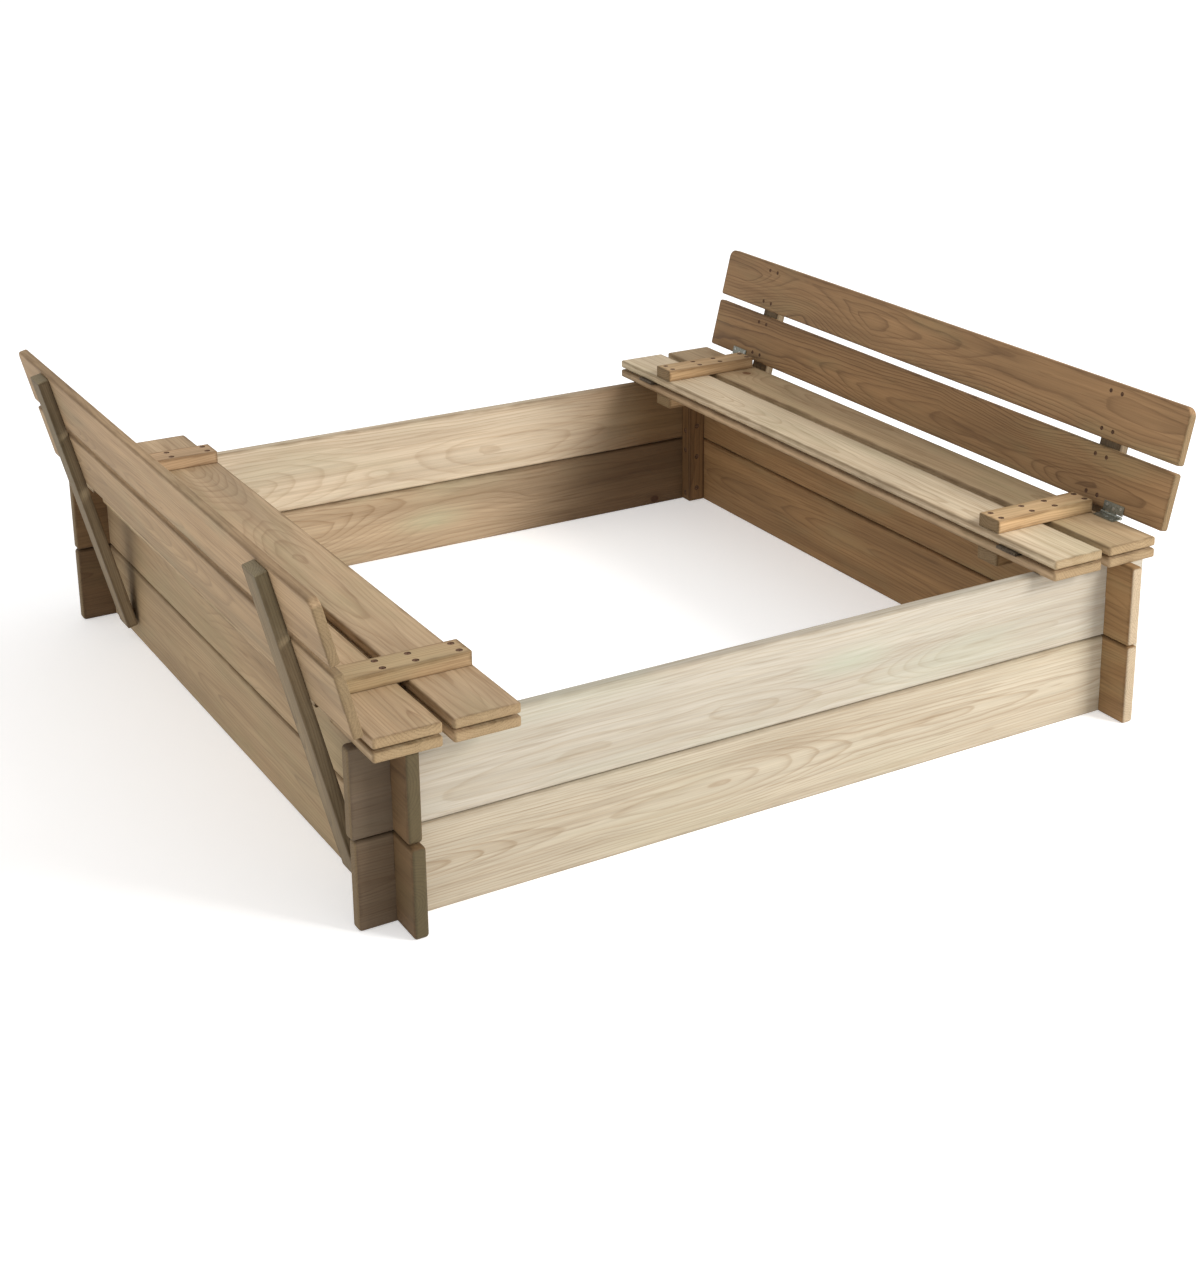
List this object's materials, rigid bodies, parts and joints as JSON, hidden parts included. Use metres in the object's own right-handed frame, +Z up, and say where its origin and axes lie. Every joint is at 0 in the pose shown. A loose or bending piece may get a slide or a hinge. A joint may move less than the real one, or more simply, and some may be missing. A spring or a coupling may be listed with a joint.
{
  "type": "sandbox with cover",
  "caption": "Square timber sandbox; its two-part folding cover opens into two facing benches with backrests whose legs lean on the side walls.",
  "frame": {"origin": "on the ground at the centre of the box", "axes": "+X along the front wall to the right, +Y to the back, +Z up; the benches stand on the left and right sides"},
  "size_m": [1.3346, 1.2, 0.4405],
  "materials": {
    "wall_pine": "satin",
    "post_pine": "satin",
    "cover_pine": "satin",
    "batten_pine": "satin",
    "zinc_hinge": "satin",
    "steel_screw": "satin"
  },
  "bodies": {
    "frame": {"front_plank_lower": "wall_pine", "front_plank_upper": "wall_pine", "back_plank_lower": "wall_pine", "back_plank_upper": "wall_pine", "left_plank_lower": "wall_pine", "left_plank_upper": "wall_pine", "right_plank_lower": "wall_pine", "right_plank_upper": "wall_pine", "corner_post_front_left": "post_pine", "corner_post_front_right": "post_pine", "corner_post_back_left": "post_pine", "corner_post_back_right": "post_pine", "frame_screws": "steel_screw", "base_hinge_screws": "zinc_hinge", "right_base_board_inner": "cover_pine", "right_base_board_outer": "cover_pine", "right_base_batten_front": "batten_pine", "right_base_batten_back": "batten_pine", "right_fold_hinge_base_leaves": "zinc_hinge", "right_fold_hinge_pins": "zinc_hinge", "left_base_board_inner": "cover_pine", "left_base_board_outer": "cover_pine", "left_base_batten_front": "batten_pine", "left_base_batten_back": "batten_pine", "left_fold_hinge_base_leaves": "zinc_hinge", "left_fold_hinge_pins": "zinc_hinge"},
    "right_seat": {"right_seat_board_inner": "cover_pine", "right_seat_board_outer": "cover_pine", "right_seat_batten_front": "batten_pine", "right_seat_batten_back": "batten_pine", "right_seat_screws": "steel_screw", "right_fold_hinge_seat_leaves": "zinc_hinge", "right_back_hinge_seat_leaves": "zinc_hinge", "right_back_hinge_pins": "zinc_hinge", "right_seat_hinge_screws": "zinc_hinge"},
    "right_backrest": {"right_backrest_board_lower": "cover_pine", "right_backrest_board_upper": "cover_pine", "right_backrest_leg_front": "batten_pine", "right_backrest_leg_back": "batten_pine", "right_backrest_screws": "steel_screw", "right_back_hinge_rest_leaves": "zinc_hinge", "right_rest_hinge_screws": "zinc_hinge"},
    "left_seat": {"left_seat_board_inner": "cover_pine", "left_seat_board_outer": "cover_pine", "left_seat_batten_front": "batten_pine", "left_seat_batten_back": "batten_pine", "left_seat_screws": "steel_screw", "left_fold_hinge_seat_leaves": "zinc_hinge", "left_back_hinge_seat_leaves": "zinc_hinge", "left_back_hinge_pins": "zinc_hinge", "left_seat_hinge_screws": "zinc_hinge"},
    "left_backrest": {"left_backrest_board_lower": "cover_pine", "left_backrest_board_upper": "cover_pine", "left_backrest_leg_front": "batten_pine", "left_backrest_leg_back": "batten_pine", "left_backrest_screws": "steel_screw", "left_back_hinge_rest_leaves": "zinc_hinge", "left_rest_hinge_screws": "zinc_hinge"}
  },
  "joints": [
    {"name": "right_seat_fold", "type": "hinge", "parent": "frame", "child": "right_seat", "pos_m": [0.4025, 0, 0.24825], "axis": [0, -1, 0], "range_deg": [0, 180]},
    {"name": "right_backrest_fold", "type": "hinge", "parent": "right_seat", "child": "right_backrest", "pos_m": [0.5945, 0, 0.2644], "axis": [0, -1, 0], "range_deg": [-76, 0]},
    {"name": "left_seat_fold", "type": "hinge", "parent": "frame", "child": "left_seat", "pos_m": [-0.4025, 0, 0.24825], "axis": [0, 1, 0], "range_deg": [0, 180]},
    {"name": "left_backrest_fold", "type": "hinge", "parent": "left_seat", "child": "left_backrest", "pos_m": [-0.5945, 0, 0.2644], "axis": [0, 1, 0], "range_deg": [-76, 0]}
  ],
  "couplings": [
    {"joint": "right_backrest_fold", "follows": "right_seat_fold", "ratio": -0.42222},
    {"joint": "left_backrest_fold", "follows": "left_seat_fold", "ratio": -0.42222}
  ]
}
